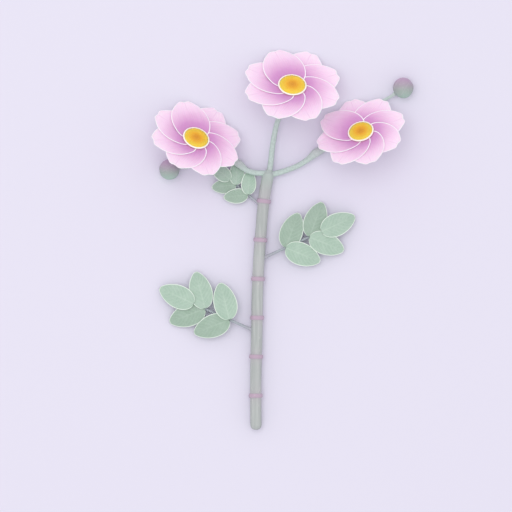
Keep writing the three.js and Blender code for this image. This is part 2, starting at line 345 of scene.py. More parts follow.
def petalShell(head, number):
    shape, look = flowerShape, petalLook
    dice = random.Random(head["seed"] * 100 + number)
    radius = head["radius"]
    pitch = 2 * math.pi / shape["petalCount"]
    azimuth = math.radians(head["firstPetal"]) - number * pitch
    inner = shape["discShare"] - 0.02
    wavePhase, tipPhase = dice.uniform(0, 6.28), dice.uniform(-0.25, 0.25)
    tipLength = 1 + dice.uniform(-0.006, 0.012)
    cupping = dice.uniform(-0.25, 0.35)

    def pointAt(along, across, face):
        share = between(inner, 1.0, 1 - (1 - along) ** 1.5)
        halfAngle = petalHalfAngle(share)
        turn = -across * halfAngle
        reach = (share - inner) / (1 - inner)
        climb = shape["rise"] * reach
        layers = halfAngle / pitch + 0.5 if number == 0 else turn / pitch
        # the tip: a shallow notch in the middle and a fainter one on each side
        tip = smooth(0.62, 1.0, reach)
        notch = max(0.0, 1 - abs(turn - 0.03 * tipPhase) / 0.09)
        shoulder = max(0.0, 1 - abs(abs(turn) - 0.23) / 0.1)
        trim = 1 - look["tipTeeth"] * tip * (notch + 0.35 * shoulder)
        distance = share * radius * (1 - (1 - tipLength) * tip) * trim
        halfWidth = max(0.5, distance * halfAngle)
        edge = min((1 - abs(across)) * halfWidth, (1.0 - share) * radius * 1.4 + 0.2)
        # folds that fan out from the base, and a crease down the middle towards the tip
        fold = math.cos(across * look["furrows"] * math.pi) * look["furrowDepth"]
        fold *= smooth(0.0, 0.25, reach) * (1 - smooth(0.75, 1.0, abs(across)))
        crease = -0.3 * math.exp(-(across / 0.07) ** 2) * smooth(0.35, 1.0, reach)
        wave = look["wave"] * 0.3 * math.sin(3.1 * across + 4.0 * reach + wavePhase)
        wave *= reach * (1 - across ** 4)
        cup = cupping * reach * (across ** 2 - 0.4)
        rim = look["rim"] * math.exp(-(edge / 0.8) ** 2) if face == 1 else 0.0
        snug = between(look["snug"], 1.0, smooth(0.0, 0.4, reach))
        bulge = shape["thickness"] / 2 * math.sqrt(min(1.0, edge / 0.7)) * face * snug
        height = climb + shape["layer"] * snug * layers + fold + crease + wave + cup + rim + bulge
        angle = azimuth + turn
        point = head["matrix"] @ Vector((distance * math.cos(angle), distance * math.sin(angle), height))
        return point, {"reach": reach, "across": across, "edge": edge}

    return bladeShell(look["rows"], look["columns"], pointAt)


petalTones = {
    "throat": tone(205, 136, 197),
    "base": tone(214, 152, 206),
    "middle": tone(234, 187, 224),
    "outer": tone(247, 212, 239),
    "tip": tone(253, 227, 246),
    "rim": tone(255, 249, 255),
    "vein": tone(216, 152, 206),
}


def makePetalMaterial():
    material, tree, shader = newMaterial("petalTissue", 0.62)
    reach, across, edge = mark(tree, "reach"), mark(tree, "across"), mark(tree, "edge")
    drift = calc(tree, "MULTIPLY_ADD", cloudy(tree, 60, 2), 0.12, -0.06)
    place = calc(tree, "ADD", reach, drift)
    colour = toneRun(tree, place, [
        (0.0, petalTones["throat"]), (0.22, petalTones["base"]), (0.45, petalTones["middle"]),
        (0.66, petalTones["outer"]), (0.88, petalTones["tip"]),
    ])
    # fine veins that fan out with the blade
    veinWave = calc(tree, "SINE", calc(tree, "MULTIPLY", across, 58.0))
    veinFine = calc(tree, "MULTIPLY_ADD", across, 131.0, calc(tree, "MULTIPLY", reach, 3.0))
    veinFine = calc(tree, "SINE", veinFine)
    veins = calc(tree, "ADD", calc(tree, "MULTIPLY", veinWave, 0.6), calc(tree, "MULTIPLY", veinFine, 0.4))
    veinMask = fade(tree, veins, 0.35, 1.0)
    veinFade = fade(tree, reach, 0.15, 1.0, 0.34, 0.1)
    colour = blendTones(tree, calc(tree, "MULTIPLY", veinMask, veinFade), colour, petalTones["vein"])
    # painted shade: the middle crease near the tip is painted a faint darker tone, the vein tone
    creaseShadeMask = calc(tree, "MULTIPLY", fade(tree, calc(tree, "ABSOLUTE", across), 0.0, 0.06, 0.3, 0.0),
                      fade(tree, reach, 0.5, 0.95))
    colour = blendTones(tree, creaseShadeMask, colour, petalTones["vein"])
    rimMask = fade(tree, edge, 1.2, 2.0, 1.0, 0.0)
    colour = blendTones(tree, rimMask, colour, petalTones["rim"])
    feed(tree, shader.inputs["Base Color"], colour)
    grain = cloudy(tree, 900, 2)
    relief = calc(tree, "ADD", calc(tree, "MULTIPLY", veins, 0.5), calc(tree, "MULTIPLY", grain, 0.5))
    roughen(tree, shader, relief, 0.35, 0.0003)
    shader.inputs["Sheen Weight"].default_value = 0.25
    shader.inputs["Sheen Roughness"].default_value = 0.5
    shader.inputs["Subsurface Weight"].default_value = 0.12
    shader.inputs["Subsurface Radius"].default_value = (0.004, 0.002, 0.003)
    shader.inputs["Subsurface Scale"].default_value = 0.3
    shader.inputs["Specular IOR Level"].default_value = 0.3
    return material


discLook = {
    "florets": 230,
    "openRing": 0.62,    # florets outside this share of the radius are open stars
    "floretRadius": 0.85,
    "collar": 2.0,       # width of the pale chaffy collar round the disc
    "collarHeight": 2.8,
    "foot": -0.6,
    "domeEdge": 2.1,
    "domeTop": 4.1,
}


def discHeight(distance, radius):
    # the dome under the florets
    share = min(1.0, distance / (radius - 0.9))
    return between(discLook["domeEdge"], discLook["domeTop"], math.sqrt(1 - share * share))


def discShell(head):
    # a low dome packed with small tube florets in a spiral, inside a thin pale collar
    radius = head["radius"] * flowerShape["discShare"]
    dice = random.Random(head["seed"])
    parts = []
    # dome
    points, faces, marks = [], [], {"reach": [], "kind": []}
    rings, sides = 15, 64
    for i in range(rings + 1):
        t = (i - 1) / (rings - 1)
        r = (radius - 0.9) * math.cos(max(0.0, t) * math.pi / 2) if i < rings else 0.0
        z = discHeight(r, radius) if i else discLook["foot"]
        for k in range(sides if i < rings else 1):
            a = 2 * math.pi * k / sides
            points.append(Vector((r * math.cos(a), r * math.sin(a), z)))
            marks["reach"].append(r / radius)
            marks["kind"].append(0.0)
    for i in range(rings - 1):
        for k in range(sides):
            a, b = i * sides + k, i * sides + (k + 1) % sides
            faces.append((a, b, b + sides, a + sides))
    top = rings * sides
    for k in range(sides):
        faces.append(((rings - 1) * sides + k, (rings - 1) * sides + (k + 1) % sides, top))
    faces.append(tuple(range(sides - 1, -1, -1)))
    parts.append((points, faces, marks))

    # florets, in the sunflower spiral
    golden = math.pi * (3 - math.sqrt(5))
    for n in range(discLook["florets"]):
        t = math.sqrt((n + 0.5) / discLook["florets"])
        angle = n * golden
        distance = (radius - 1.5) * t
        base = Vector((distance * math.cos(angle), distance * math.sin(angle), 0))
        base.z = discHeight(distance, radius)
        axis = Vector((base.x * 0.045, base.y * 0.045, 1)).normalized()
        axis = (axis + Vector((dice.uniform(-0.1, 0.1), dice.uniform(-0.1, 0.1), 0))).normalized()
        sideA = axis.cross(Vector((math.sin(angle), -math.cos(angle), 0.1))).normalized()
        sideB = axis.cross(sideA)
        opened = t > discLook["openRing"]
        width = discLook["floretRadius"] * between(0.62, 1.0, t) * dice.uniform(0.9, 1.08)
        tall = between(0.8, 1.2, t) * dice.uniform(0.85, 1.1)
        profile = [(0.55, -0.9), (0.62, tall * 0.5), (0.95, tall * 0.85), (0.75, tall), (0.0, tall * 0.8)]
        if not opened:
            profile = [(0.6, -0.9), (0.85, tall * 0.35), (0.8, tall * 0.6), (0.4, tall * 0.8),
                (0.0, tall * 0.84)]
        around = 10
        points, faces, marks = [], [], {"reach": [], "kind": []}
        for level, (out, lift) in enumerate(profile):
            for k in range(around if level < len(profile) - 1 else 1):
                a = 2 * math.pi * k / around
                star = 1 + (0.32 if opened and level in (2, 3) else 0.0) * (1 if k % 2 == 0 else -1) * 0.6
                spread = out * width * star
                points.append(base + axis * lift + (sideA * math.cos(a) + sideB * math.sin(a)) * spread)
                marks["reach"].append(distance / radius)
                marks["kind"].append(0.35 + 0.5 * level / 4 + dice.uniform(-0.05, 0.05))
        for level in range(len(profile) - 2):
            for k in range(around):
                a, b = level * around + k, level * around + (k + 1) % around
                faces.append((a, b, b + around, a + around))
        tipIndex = (len(profile) - 1) * around
        for k in range(around):
            a, b = tipIndex - around + k, tipIndex - around + (k + 1) % around
            faces.append((a, b, tipIndex))
        faces.append(tuple(range(around - 1, -1, -1)))
        parts.append((points, faces, marks))

    # the pale collar
    points, faces, marks = [], [], {"reach": [], "kind": []}
    sides, loops = 120, 10
    for k in range(sides):
        a = 2 * math.pi * k / sides
        ruffle = 0.12 * math.sin(a * 24) + 0.06 * math.sin(a * 41 + 1)
        for j in range(loops):
            b = 2 * math.pi * j / loops
            r = radius + 0.3 + (discLook["collar"] * 0.5 + ruffle * 0.5) * math.cos(b)
            z = discLook["collarHeight"] + 0.6 * math.sin(b) - 0.3 * math.cos(b) + ruffle * 0.5
            points.append(Vector((r * math.cos(a), r * math.sin(a), z)))
            marks["reach"].append(1.2)
            marks["kind"].append(0.0)
    for k in range(sides):
        for j in range(loops):
            a, b = k * loops + j, k * loops + (j + 1) % loops
            c, d = ((k + 1) % sides) * loops + (j + 1) % loops, ((k + 1) % sides) * loops + j
            faces.append((d, c, b, a))
    parts.append((points, faces, marks))
    points, faces, marks = joinParts(parts)
    return [head["matrix"] @ p for p in points], faces, marks


def makeDiscMaterial():
    material, tree, shader = newMaterial("discFlorets", 0.7)
    reach, kind = mark(tree, "reach"), mark(tree, "kind")
    colour = toneRun(tree, reach, [
        (0.0, tone(214, 138, 36)), (0.22, tone(228, 160, 42)), (0.45, tone(242, 192, 58)),
        (0.7, tone(255, 226, 84)), (0.97, tone(255, 238, 96)),
    ])
    colour = blendTones(tree, fade(tree, kind, 0.1, 0.6, 0.25, 0.0), colour, tone(248, 196, 70))
    grain = cloudy(tree, 700, 2)
    colour = blendTones(tree, fade(tree, grain, 0.45, 0.75, 0.0, 0.25), colour, tone(255, 226, 120))
    colour = blendTones(tree, fade(tree, reach, 1.05, 1.12), colour, tone(255, 250, 240))
    feed(tree, shader.inputs["Base Color"], colour)
    roughen(tree, shader, grain, 0.3, 0.0004)
    shader.inputs["Specular IOR Level"].default_value = 0.25
    shader.inputs["Sheen Weight"].default_value = 0.15
    return material


cupLook = {
    "radiusShare": 0.3,      # of the flower's radius
    "lip": -1.0,             # how high the cup reaches, just under the petals
    "outerBracts": 5,
    "innerBracts": 8,
    "bractThickness": 0.5,
}


def cupShell(head):
    # the green cup behind the petals, with two whorls of pointed bracts lying on it
    radius = head["radius"] * cupLook["radiusShare"]
    foot, lip = -flowerShape["backLength"], cupLook["lip"]
    outline = [(4.2, foot), (5.2, -17.0), (8.4, -13.6), (radius * 0.68, -10.0), (radius * 0.9, -7.0),
               (radius, -4.8), (radius - 0.5, -3.2), (radius * 0.93, lip)]

    def bodyRadius(height):
        for (r0, z0), (r1, z1) in zip(outline, outline[1:]):
            if z0 <= height <= z1:
                return between(r0, r1, (height - z0) / (z1 - z0))
        return outline[0][0] if height < outline[0][1] else outline[-1][0]

    parts = []
    points, faces, marks = [], [], {"reach": [], "edge": []}
    rings, sides = 36, 72
    for i in range(rings + 1):
        height = between(foot, lip, i / rings)
        for k in range(sides):
            a = 2 * math.pi * k / sides
            ribs = 0.12 * math.cos(a * 16) * smooth(-18.5, -14.0, height)
            r = bodyRadius(height) - 0.45 + ribs
            points.append(Vector((r * math.cos(a), r * math.sin(a), height)))
            marks["reach"].append(i / rings)
            marks["edge"].append(3.0)
    for i in range(rings):
        for k in range(sides):
            a, b = i * sides + k, i * sides + (k + 1) % sides
            faces.append((a, b, b + sides, a + sides))
    faces.append(tuple(range(sides - 1, -1, -1)))
    faces.append(tuple(range(rings * sides, (rings + 1) * sides)))
    parts.append((points, faces, marks))

    for whorl, count, start, end, spread, lift in (
        ("inner", cupLook["innerBracts"], -15.5, -4.1, 0.42, 0.0),
        ("outer", cupLook["outerBracts"], -18.2, -6.6, 0.5, 0.55),
    ):
        for n in range(count):
            middle = 2 * math.pi * (n + (0.5 if whorl == "outer" else 0.0)) / count

            def pointAt(along, across, face):
                height = between(start, end, along)
                wide = spread * math.sin(math.pi * min(1.0, 0.28 + 0.72 * along) ** 1.15) ** 0.7
                a = middle + across * max(0.004, wide)
                edge = (1 - abs(across)) * wide * 10
                keel = 0.25 * math.exp(-(across / 0.12) ** 2)
                bulge = cupLook["bractThickness"] / 2 * math.sqrt(min(1.0, edge / 0.6)) * face
                r = bodyRadius(height) - 0.35 + lift + keel + bulge
                point = Vector((r * math.cos(a), r * math.sin(a), height))
                return point, {"reach": along, "edge": edge}

            parts.append(bladeShell(18, 14, pointAt))
    points, faces, marks = joinParts(parts)
    return [head["matrix"] @ p for p in points], faces, marks


def makeCupMaterial():
    material, tree, shader = newMaterial("bractTissue", 0.6)
    reach, edge = mark(tree, "reach"), mark(tree, "edge")
    colour = toneRun(tree, reach, [(0.0, tone(160, 182, 170)), (0.6, tone(168, 192, 176)),
        (1.0, tone(190, 196, 184))])
    colour = blendTones(tree, fade(tree, cloudy(tree, 220), 0.4, 0.7, 0.0, 0.4), colour, tone(176, 200, 184))
    colour = blendTones(tree, fade(tree, edge, 0.3, 1.1, 0.8, 0.0), colour, tone(214, 226, 212))
    feed(tree, shader.inputs["Base Color"], colour)
    roughen(tree, shader, cloudy(tree, 500), 0.3, 0.0003)
    shader.inputs["Specular IOR Level"].default_value = 0.3
    return material


petalMaterial = makePetalMaterial()
discMaterial = makeDiscMaterial()
cupMaterial = makeCupMaterial()

for head in heads:
    name = head["name"]
    head["matrix"] = placeHead(head)
    for number in range(flowerShape["petalCount"]):
        node = f"{name}_petal_{number + 1}"
        petal = buildMesh(node + "_blade", *petalShell(head, number))
        finishPiece(petal, petalMaterial, "petal", node)
    disc = buildMesh(name + "_florets", *discShell(head))
    finishPiece(disc, discMaterial, "disc", name + "_disc")
    cup = buildMesh(name + "_bracts", *cupShell(head))
    finishPiece(cup, cupMaterial, "green_cup", name + "_green_cup")
    print(name, "made")


# the cane
caneShape = {
    "stops": [(0, 0), (-0.4, 42), (0, 86), (1.1, 126), (1.7, 170), (3, 208), (5.6, 247), (8.5, 282),
              (12, 311), (17.3, 338)],
    "radius": 7.4,
    "nodeRadius": 9.1,
    "restHeight": 9.1,
    "firstNode": 44.5,
    "nodePitch": 50.7,
    "nodeCount": 6,
    "nodeHalfHeight": 2.6,
    "cutFaceRadius": 2.4,
    "sides": 72,
    "steps": 520,
}


def nodeCloseness(distance):
    # distance to the nearest ring of the cane
    shape = caneShape
    return min(abs(distance - shape["firstNode"] - i * shape["nodePitch"]) for i in range(shape["nodeCount"]))


def caneRadius(length):
    shape = caneShape
    bulge = shape["radius"] - shape["cutFaceRadius"]

    def radiusAt(distance, turn):
        away = nodeCloseness(distance)
        r = shape["radius"]
        if distance < shape["radius"]:
            lean = 1 - distance / shape["radius"]
            r = shape["cutFaceRadius"] + bulge * math.sqrt(max(0.0, 1 - lean * lean))
        swell = 1 - smooth(shape["nodeHalfHeight"] - 0.5, shape["nodeHalfHeight"] + 0.9, away)
        crown = 1 - 0.25 * (away / shape["nodeHalfHeight"]) ** 2 if away < shape["nodeHalfHeight"] else 0.75
        r += (shape["nodeRadius"] - shape["radius"]) * swell * crown
        # a fine groove beside each ring
        r -= 0.18 * math.exp(-((away - shape["nodeHalfHeight"] - 1.5) / 0.7) ** 2)
        ribs = 0.05 * math.cos(turn * 14 + 0.02 * distance) + 0.03 * math.cos(turn * 33 + 0.05 * distance)
        r += ribs * smooth(6.0, 12.0, distance)
        r += 0.35 * smooth(length - 70, length - 25, distance)
        r -= 3.0 * smooth(length - 6, length, distance)
        return r

    return radiusAt


caneStops = [(x, y, caneShape["restHeight"]) for x, y in caneShape["stops"]]
caneLine, caneLength = smoothLine(caneStops, caneShape["steps"])


def caneMarks(distance, turn):
    away = nodeCloseness(distance)
    ring = 1 - smooth(caneShape["nodeHalfHeight"] - 0.3, caneShape["nodeHalfHeight"] + 0.5, away)
    flush = math.exp(-(away / 9.0) ** 2)
    return {"ring": ring, "flush": flush, "top": smooth(caneLength - 30, caneLength, distance)}


def makeCaneMaterial():
    material, tree, shader = newMaterial("caneBark", 0.55)
    ring, flush, top = mark(tree, "ring"), mark(tree, "flush"), mark(tree, "top")
    turn = mark(tree, "turn")
    streaks = cloudy(tree, 260, 3, (1.0, 0.06, 1.0))
    blotch = cloudy(tree, 45, 3)
    colour = blendTones(tree, fade(tree, streaks, 0.35, 0.7), tone(172, 178, 176), tone(188, 193, 191))
    colour = blendTones(tree, fade(tree, blotch, 0.45, 0.75, 0.0, 0.5), colour, tone(186, 186, 189))
    colour = blendTones(tree, calc(tree, "MULTIPLY", flush, 0.22), colour, tone(188, 168, 186))
    colour = blendTones(tree, calc(tree, "MULTIPLY", ring, 0.92), colour, tone(188, 164, 184))
    colour = blendTones(tree, calc(tree, "MULTIPLY", top, 0.7), colour, tone(176, 193, 186))
    specks = cloudy(tree, 420, 1, (1.0, 0.35, 1.0))
    colour = blendTones(tree, fade(tree, specks, 0.68, 0.74, 0.0, 0.5), colour, tone(206, 208, 204))
    feed(tree, shader.inputs["Base Color"], colour)
    fibres = calc(tree, "SINE", calc(tree, "MULTIPLY", turn, 96.0))
    relief = calc(tree, "ADD", calc(tree, "MULTIPLY", fibres, 0.12), calc(tree, "ADD", streaks, specks))
    roughen(tree, shader, relief, 0.35, 0.0005)
    shader.inputs["Specular IOR Level"].default_value = 0.35
    return material


caneMaterial = makeCaneMaterial()
points, faces, marks = rodShell(caneLine, caneLength, caneRadius(caneLength), caneShape["sides"], caneMarks)
cane = buildMesh("cane_bark", toFrame(points), faces, marks)
finishPiece(cane, caneMaterial, "cane", "cane")
print("cane made")


# flower stalks
stalkShape = {
    "radius": 3.6,
    "sides": 40,
    "steps": 150,
    "routes": {
        "top_flower": [(17.0, 334, 9.1), (19, 346, 9.1), (20.9, 364, 9.3), (23.9, 383.5, 9.8),
                       (28.2, 401.5, 12), (35, 417, 16.5)],
        "left_flower": [(17, 334, 9.1), (9, 334, 10.2), (-2, 334.8, 12.2), (-12, 338, 12.8),
                        (-24, 347.5, 12.8), (-43, 356, 12.4), (-63, 357.5, 12.8), (-77, 357, 15.5)],
        "right_flower": [(16.5, 331.5, 9.1), (25, 333.5, 9.1), (38, 337.4, 9.1), (53.5, 343.4, 9.1),
                         (66, 351, 9.3), (82, 363, 9.8), (102, 368.5, 10.8), (122, 367.5, 13),
                         (134, 366.8, 17)],
    },
    "swellings": {"top_flower": (0.0, 0.0), "left_flower": (0.37, 1.7), "right_flower": (0.49, 2.1)},
}


def stalkLine(head):
    toStem = lambda p: (p - stemPlace) / mm
    depth = flowerShape["backLength"]
    ends = [toStem(head["matrix"] @ Vector((0, 0, -depth - extra))) for extra in (5.0, -0.6)]
    stops = [Vector(p) for p in stalkShape["routes"][head["name"]]] + ends
    return smoothLine(stops, stalkShape["steps"])


def makeStalkMaterial(name, light, dark, flushTone):
    material, tree, shader = newMaterial(name, 0.55)
    turn, flush = mark(tree, "turn"), mark(tree, "flush")
    streaks = cloudy(tree, 320, 3)
    colour = blendTones(tree, fade(tree, streaks, 0.35, 0.68), dark, light)
    colour = blendTones(tree, calc(tree, "MULTIPLY", flush, 0.55), colour, flushTone)
    feed(tree, shader.inputs["Base Color"], colour)
    fibres = calc(tree, "SINE", calc(tree, "MULTIPLY", turn, 28.0))
    roughen(tree, shader, calc(tree, "ADD", calc(tree, "MULTIPLY", fibres, 0.3), streaks), 0.3, 0.0003)
    shader.inputs["Specular IOR Level"].default_value = 0.35
    return material


stalkMaterial = makeStalkMaterial("stalkSkin",
    tone(194, 211, 205), tone(182, 199, 193), tone(190, 180, 190))
leafStalkMaterial = makeStalkMaterial("leafStalkSkin",
    tone(176, 184, 190), tone(162, 170, 178), tone(182, 170, 186))

for head in heads:
    name = head["name"]
    line, length = stalkLine(head)
    swellAt, swell = stalkShape["swellings"][name]

    def radiusAt(distance, turn):
        share = distance / length
        r = between(stalkShape["radius"], stalkShape["radius"] - 0.3, share)
        r += 0.7 * math.exp(-((share - 1) / 0.06) ** 2)
        r += swell * math.exp(-((share - swellAt) / 0.07) ** 2)
        r += 0.07 * math.cos(turn * 7) * smooth(0.03, 0.1, share)
        return r + 0.5 * math.exp(-(distance / 7.0) ** 2)

    def marksAt(distance, turn):
        return {"flush": 0.5 * math.exp(-((distance / length - swellAt) / 0.08) ** 2)}

    points, faces, marks = rodShell(line, length, radiusAt, stalkShape["sides"], marksAt)
    stalk = buildMesh(name + "_stem", toFrame(points), faces, marks)
    finishPiece(stalk, stalkMaterial, "flower_stalk", name + "_stalk")
print("flower stalks made")


# buds
budShape = {"radius": 13.4, "stalkRadius": 2.1, "scales": 5, "seam": 0.45}
buds = [
    {"name": "right_bud", "facing": (0.8, 0.56, 0.22), "spin": 0.4,
     "route": [(82, 363, 9.8), (96, 378, 8.6), (118, 398, 7), (143, 415, 6.2), (163, 427, 6.6)]},
    {"name": "left_bud", "facing": (-0.95, -0.2, 0.22), "spin": 1.1,
     "route": [(-61, 358, 11), (-70, 353, 9), (-81, 346.5, 8), (-90, 342, 8.5)]},
]


def budShell(bud):
    # a round bud wrapped in bracts whose edges sweep up to a small point
    low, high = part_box(bud["name"])
    centre = (low + high) / 2
    axis = Vector(bud["facing"]).normalized()
    aside = axis.cross(Vector((0, 0, 1))).normalized()
    over = aside.cross(axis)
    points, faces, marks = [], [], {"height": [], "seam": []}
    rings, sides = 90, 180
    count = budShape["scales"]
    for i in range(rings + 1):
        t = math.pi * i / rings
        for k in range(sides if 0 < i < rings else 1):
            a = 2 * math.pi * k / sides + bud["spin"]
            # each bract's edge curves over its neighbour as it climbs
            swirl = a + 0.5 * math.cos(t)
            place = (swirl * count / (2 * math.pi)) % 1.0
            step = smooth(0.0, 0.08, place) - place
            climb = smooth(0.25, 1.1, t) * (1 - smooth(2.75, 3.1, t))
            r = budShape["radius"] - 0.3 + budShape["seam"] * step * climb
            r += 0.06 * math.cos(a * 30) * climb
            r *= 1 - 0.03 * math.exp(-((math.pi - t) / 0.25) ** 2)
            radial = aside * math.cos(a) + over * math.sin(a)
            point = centre + (radial * math.sin(t) - axis * math.cos(t)) * r * mm
            points.append(point)
            marks["height"].append((point.y - centre.y) / (budShape["radius"] * mm))
            marks["seam"].append(math.exp(-(min(place, 1 - place) / 0.03) ** 2) * climb)
    ringStart = lambda i: 0 if i == 0 else 1 + (i - 1) * sides
    for k in range(sides):
        faces.append((0, 1 + (k + 1) % sides, 1 + k))
    for i in range(1, rings - 1):
        for k in range(sides):
            a, b = ringStart(i) + k, ringStart(i) + (k + 1) % sides
            faces.append((a, b, b + sides, a + sides))
    last = ringStart(rings)
    for k in range(sides):
        a, b = ringStart(rings - 1) + k, ringStart(rings - 1) + (k + 1) % sides
        faces.append((a, b, last))
    return points, faces, marks


def makeBudMaterial():
    material, tree, shader = newMaterial("budSkin", 0.55)
    height, seam = mark(tree, "height"), mark(tree, "seam")
    drift = calc(tree, "MULTIPLY_ADD", cloudy(tree, 70, 2), 0.3, -0.15)
    place = calc(tree, "MULTIPLY_ADD", calc(tree, "ADD", height, drift), 0.5, 0.5)
    colour = toneRun(tree, place, [
        (0.05, tone(163, 189, 177)), (0.35, tone(159, 170, 166)), (0.6, tone(168, 160, 171)),
        (0.95, tone(186, 156, 186)),
    ])
    colour = blendTones(tree, calc(tree, "MULTIPLY", seam, 0.3), colour, tone(200, 194, 202))
    specks = fade(tree, cloudy(tree, 500), 0.5, 0.72, 0.0, 0.25)
    colour = blendTones(tree, specks, colour, tone(200, 196, 202))
    feed(tree, shader.inputs["Base Color"], colour)
    roughen(tree, shader, cloudy(tree, 600), 0.25, 0.0003)
    shader.inputs["Specular IOR Level"].default_value = 0.35
    return material


budMaterial = makeBudMaterial()
for bud in buds:
    ball = buildMesh(bud["name"] + "_scales", *budShell(bud))
    finishPiece(ball, budMaterial, "bud", bud["name"])
    low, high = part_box(bud["name"])
    centre = ((low + high) / 2 - stemPlace) / mm
    axis = Vector(bud["facing"]).normalized()
    stops = bud["route"] + [tuple(centre - axis * (budShape["radius"] + 4)),
        tuple(centre - axis * (budShape["radius"] - 0.6))]
    line, length = smoothLine(stops, 90)
    radiusAt = lambda distance, turn: (budShape["stalkRadius"] + 0.05 * math.cos(turn * 6)
        + 0.9 * math.exp(-((length - distance) / 2.5) ** 2))
    marksAt = lambda distance, turn: {"flush": 0.4 * math.exp(-((length - distance) / 9) ** 2)}
    points, faces, marks = rodShell(line, length, radiusAt, 28, marksAt)
    stem = buildMesh(bud["name"] + "_stem", toFrame(points), faces, marks)
    finishPiece(stem, stalkMaterial, "flower_stalk", bud["name"] + "_stalk")
print("buds made")


# leaves
leafletShape = {
    "rows": 48,
    "columns": 32,
    "thickness": 0.8,
    "widthShare": 0.61,
    "edgeLift": 0.6,
    "step": 1.8,
    "stalkRadius": 1.4,
    "sidePairs": 8,
    "veinDepth": 0.22,
}
# each leaf's flag after its leaflet order picks whether its upper leaflets get the lit copy of the leaflet
# material or the copy painted darker as shade; leaflets at the back take the shaded copy
leaves = [
    {"name": "lower_left_leaf", "start": (0.2, 127.7), "heading": 155.8,
     "reach": (38, 73, 88.5), "length": 50,
     "upper": -51.5, "lower": 45, "order": (2, 1, 2, 0, 1), "upperLight": True,
     "heights": (9.1, 11.4, 11.6, 9.6), "droop": (12, 14)},
    {"name": "right_leaf", "start": (5.6, 222), "heading": 24.4,
     "reach": (36, 70, 87), "length": 49,
     "upper": 45, "lower": -46, "order": (0, 1, 3, 2, 1), "upperLight": False,
     "heights": (9.1, 11.6, 12, 10.2), "droop": (13, 13)},
    {"name": "upper_left_leaf", "start": (9.5, 289.5), "heading": 140.3,
     "reach": (25.8, 46, 56), "length": 32.5,
     "upper": -54, "lower": 46, "order": (2, 1, 2, 0, 1), "upperLight": True,
     "heights": (9.1, 5, 4.2, 3.8), "droop": (16, 11)},
]


def leafletOutline(share):
    shape = lambda s: s ** 0.5 * (1 - s) ** 0.68
    return shape(share) / shape(0.424)


def leafStalkHeight(leaf, distance):
    stops = (0, *leaf["reach"])
    heights = leaf["heights"]
    if distance >= stops[-1]:
        beyond = (distance - stops[-1]) / leaf["length"]
        return heights[-1] + (heights[-1] - heights[-2]) * beyond - 0.16 * leaf["length"] * beyond * beyond
    i = max(1, next(k for k, stop in enumerate(stops) if stop > distance))
    share = (distance - stops[i - 1]) / (stops[i] - stops[i - 1])
    return between(heights[i - 1], heights[i], share * share * (3 - 2 * share))


def leafletShell(leaf, reach, turn, order, seed):
    shape = leafletShape
    dice = random.Random(seed)
    heading, direction = math.radians(leaf["heading"]), math.radians(leaf["heading"] + turn)
    halfWidth = leaf["length"] * shape["widthShare"] / 2
    ripplePhase = dice.uniform(0, 6.28)

    def pointAt(along, across, face):
        share = between(0.006, 0.992, along)
        forward = share * leaf["length"]
        aside = across * halfWidth * leafletOutline(share)
        dx = reach * math.cos(heading) + forward * math.cos(direction) + aside * math.sin(direction)
        dy = reach * math.sin(heading) + forward * math.sin(direction) - aside * math.cos(direction)
        distance = dx * math.cos(heading) + dy * math.sin(heading)
        offset = dy * math.cos(heading) - dx * math.sin(heading)
        upwards = offset * math.cos(heading) > 0
        droop = (leaf["droop"][0] if upwards else leaf["droop"][1]) * (offset / 50) ** 2
        base = leafStalkHeight(leaf, distance) + shape["stalkRadius"] + 0.3 + shape["thickness"] / 2
        fold = shape["edgeLift"] * across * across
        height = base + 0.2 + order * shape["step"] - droop + fold
        edge = min((1 - abs(across)) * halfWidth * leafletOutline(share), (1 - share) * leaf["length"] * 0.6)
        # side veins leave the midrib forwards and curve to the margin
        veinPlace = (share * 1.05 - 0.34 * abs(across) ** 1.2) * shape["sidePairs"]
        veinGap = abs(veinPlace - round(veinPlace))
        sideVein = math.exp(-(veinGap / 0.12) ** 2) * smooth(1.0, 0.8, abs(across)) if veinPlace > 0 else 0.0
        midrib = math.exp(-(aside / 0.55) ** 2) * (1 - share) ** 0.5
        quilt = 0.12 * (0.5 - veinGap) * -1 * (1 - abs(across) ** 3)
        relief = -(shape["veinDepth"] * sideVein * 0.5 + 0.35 * midrib) + quilt
        if face == -1:
            relief = -(0.25 * sideVein + 0.5 * midrib)
        ripple = 0.25 * math.sin(share * 11 + ripplePhase) * across ** 2 * (1 if across > 0 else -1)
        bulge = shape["thickness"] / 2 * math.sqrt(min(1.0, edge / 0.6)) * face
        point = Vector((leaf["start"][0] + dx, leaf["start"][1] + dy, height + relief + ripple + bulge))
        marks = {"along": share, "across": across, "edge": edge, "vein": max(sideVein * 0.7, midrib)}
        return point, marks

    return bladeShell(shape["rows"], shape["columns"], pointAt)


